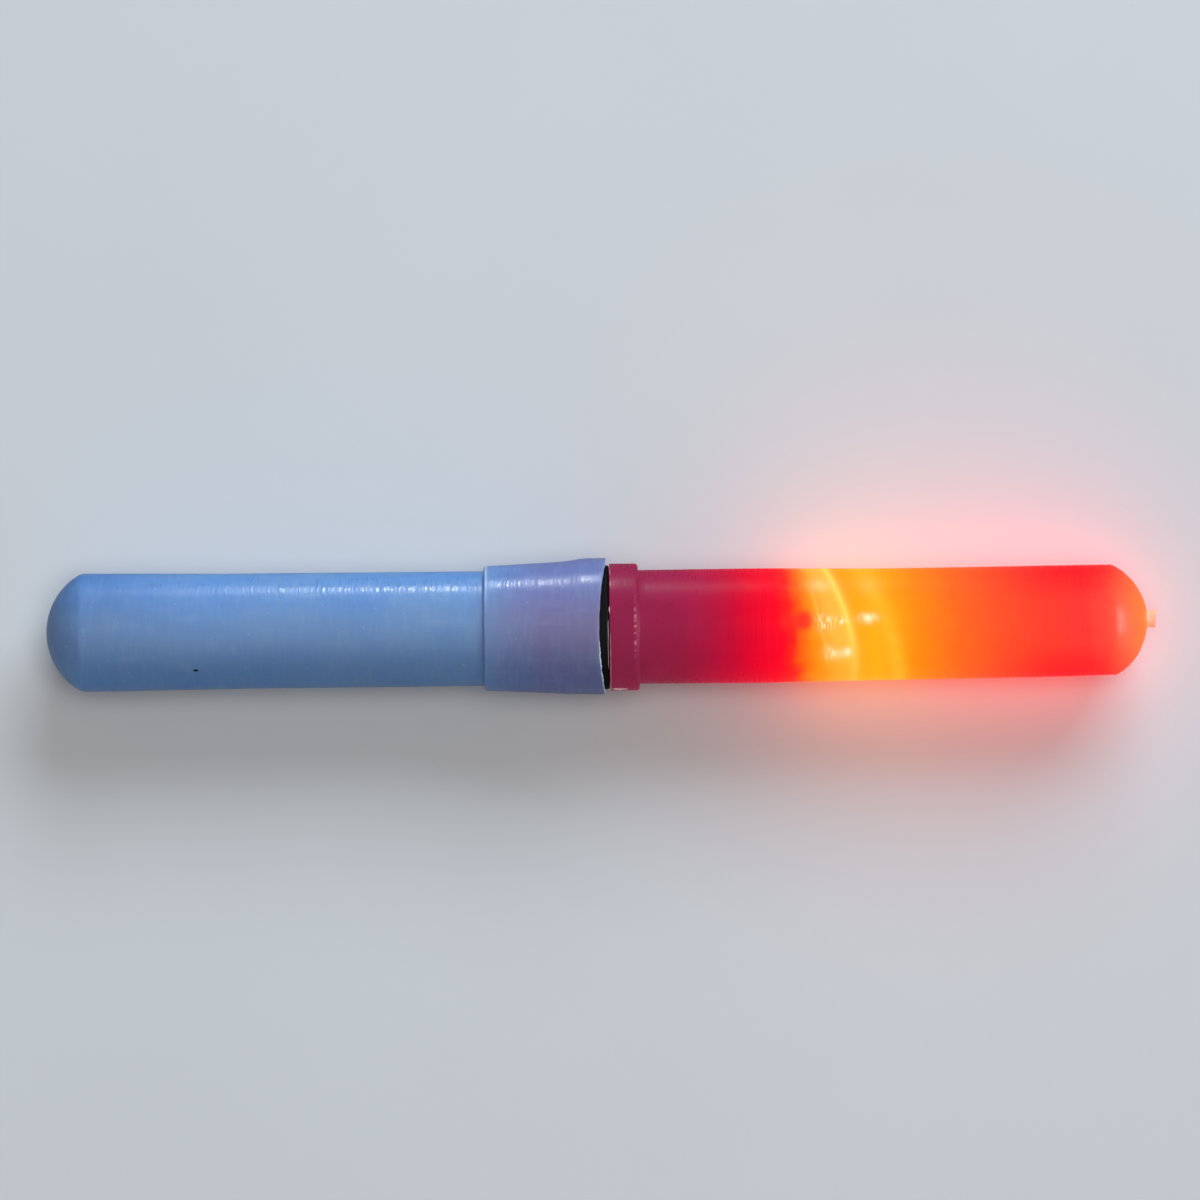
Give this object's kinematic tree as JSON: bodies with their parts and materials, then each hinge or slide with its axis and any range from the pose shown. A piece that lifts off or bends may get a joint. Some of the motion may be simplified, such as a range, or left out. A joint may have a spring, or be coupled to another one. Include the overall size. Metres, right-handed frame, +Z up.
{
  "type": "miniature traffic baton light",
  "caption": "Miniature baton light: milky battery tube, rubber ring and translucent red cap lit from inside by a round LED that plugs onto a pin cell.",
  "frame": {"origin": "on the baton's axis, at the middle of the plain barrel of the battery tube, where it is gripped", "axes": "+X along the axis towards the red lit tip, +Z up as the baton lies, +Y across it"},
  "size_m": [0.0489, 0.006, 0.006],
  "materials": {
    "milky_shell": "milky translucent moulding with fine turned mould lines",
    "red_lens": "translucent red moulding, glossy, lit from inside",
    "black_rubber": "matt, slightly dusty",
    "led_epoxy": "clear red cast epoxy",
    "led_die": "sawn die with a metal pad",
    "gold_wire": "bright drawn",
    "tinned_steel": "tin plated, stamped",
    "clear_resin": "clear cured resin",
    "white_nylon": "natural white nylon",
    "bare_brass": "turned brass",
    "spring_bronze": "stamped spring bronze",
    "solder": "bright solder",
    "plated_can": "drawn and nickel plated",
    "plated_pin": "plated",
    "black_gasket": "moulded polypropylene",
    "lithium_metal": "soft dull metal",
    "porous_film": "porous white film",
    "cathode_mix": "pressed black powder"
  },
  "bodies": {
    "tube": {"battery_tube": "milky_shell"},
    "seal": {"seal_ring": "black_rubber"},
    "head": {"lens_cap": "red_lens", "led_lens": "led_epoxy", "led_chip": "led_die", "led_bond_wire": "gold_wire", "led_cathode_lead": "tinned_steel", "led_anode_lead": "tinned_steel", "led_glue": "clear_resin", "led_holder": "white_nylon", "pin_socket": "bare_brass", "can_contact": "spring_bronze", "solder_anode": "solder", "solder_cathode": "solder"},
    "cell": {"cell_can": "plated_can", "cell_gasket": "black_gasket", "cell_pin": "plated_pin", "cell_lithium": "lithium_metal", "cell_separator": "porous_film", "cell_cathode": "cathode_mix"}
  },
  "joints": [
    {"name": "head_slide", "type": "slide", "parent": "tube", "child": "seal", "axis": [1, 0, 0], "range_m": [0, 0.054]},
    {"name": "head_twist", "type": "hinge", "parent": "seal", "child": "head", "pos_m": [0.0144, 0, 0], "axis": [1, 0, 0], "continuous": true},
    {"name": "cell_slide", "type": "slide", "parent": "tube", "child": "cell", "axis": [1, 0, 0], "range_m": [0, 0.027]}
  ],
  "couplings": [
    {"joint": "cell_slide", "follows": "head_slide", "ratio": 0.5}
  ]
}
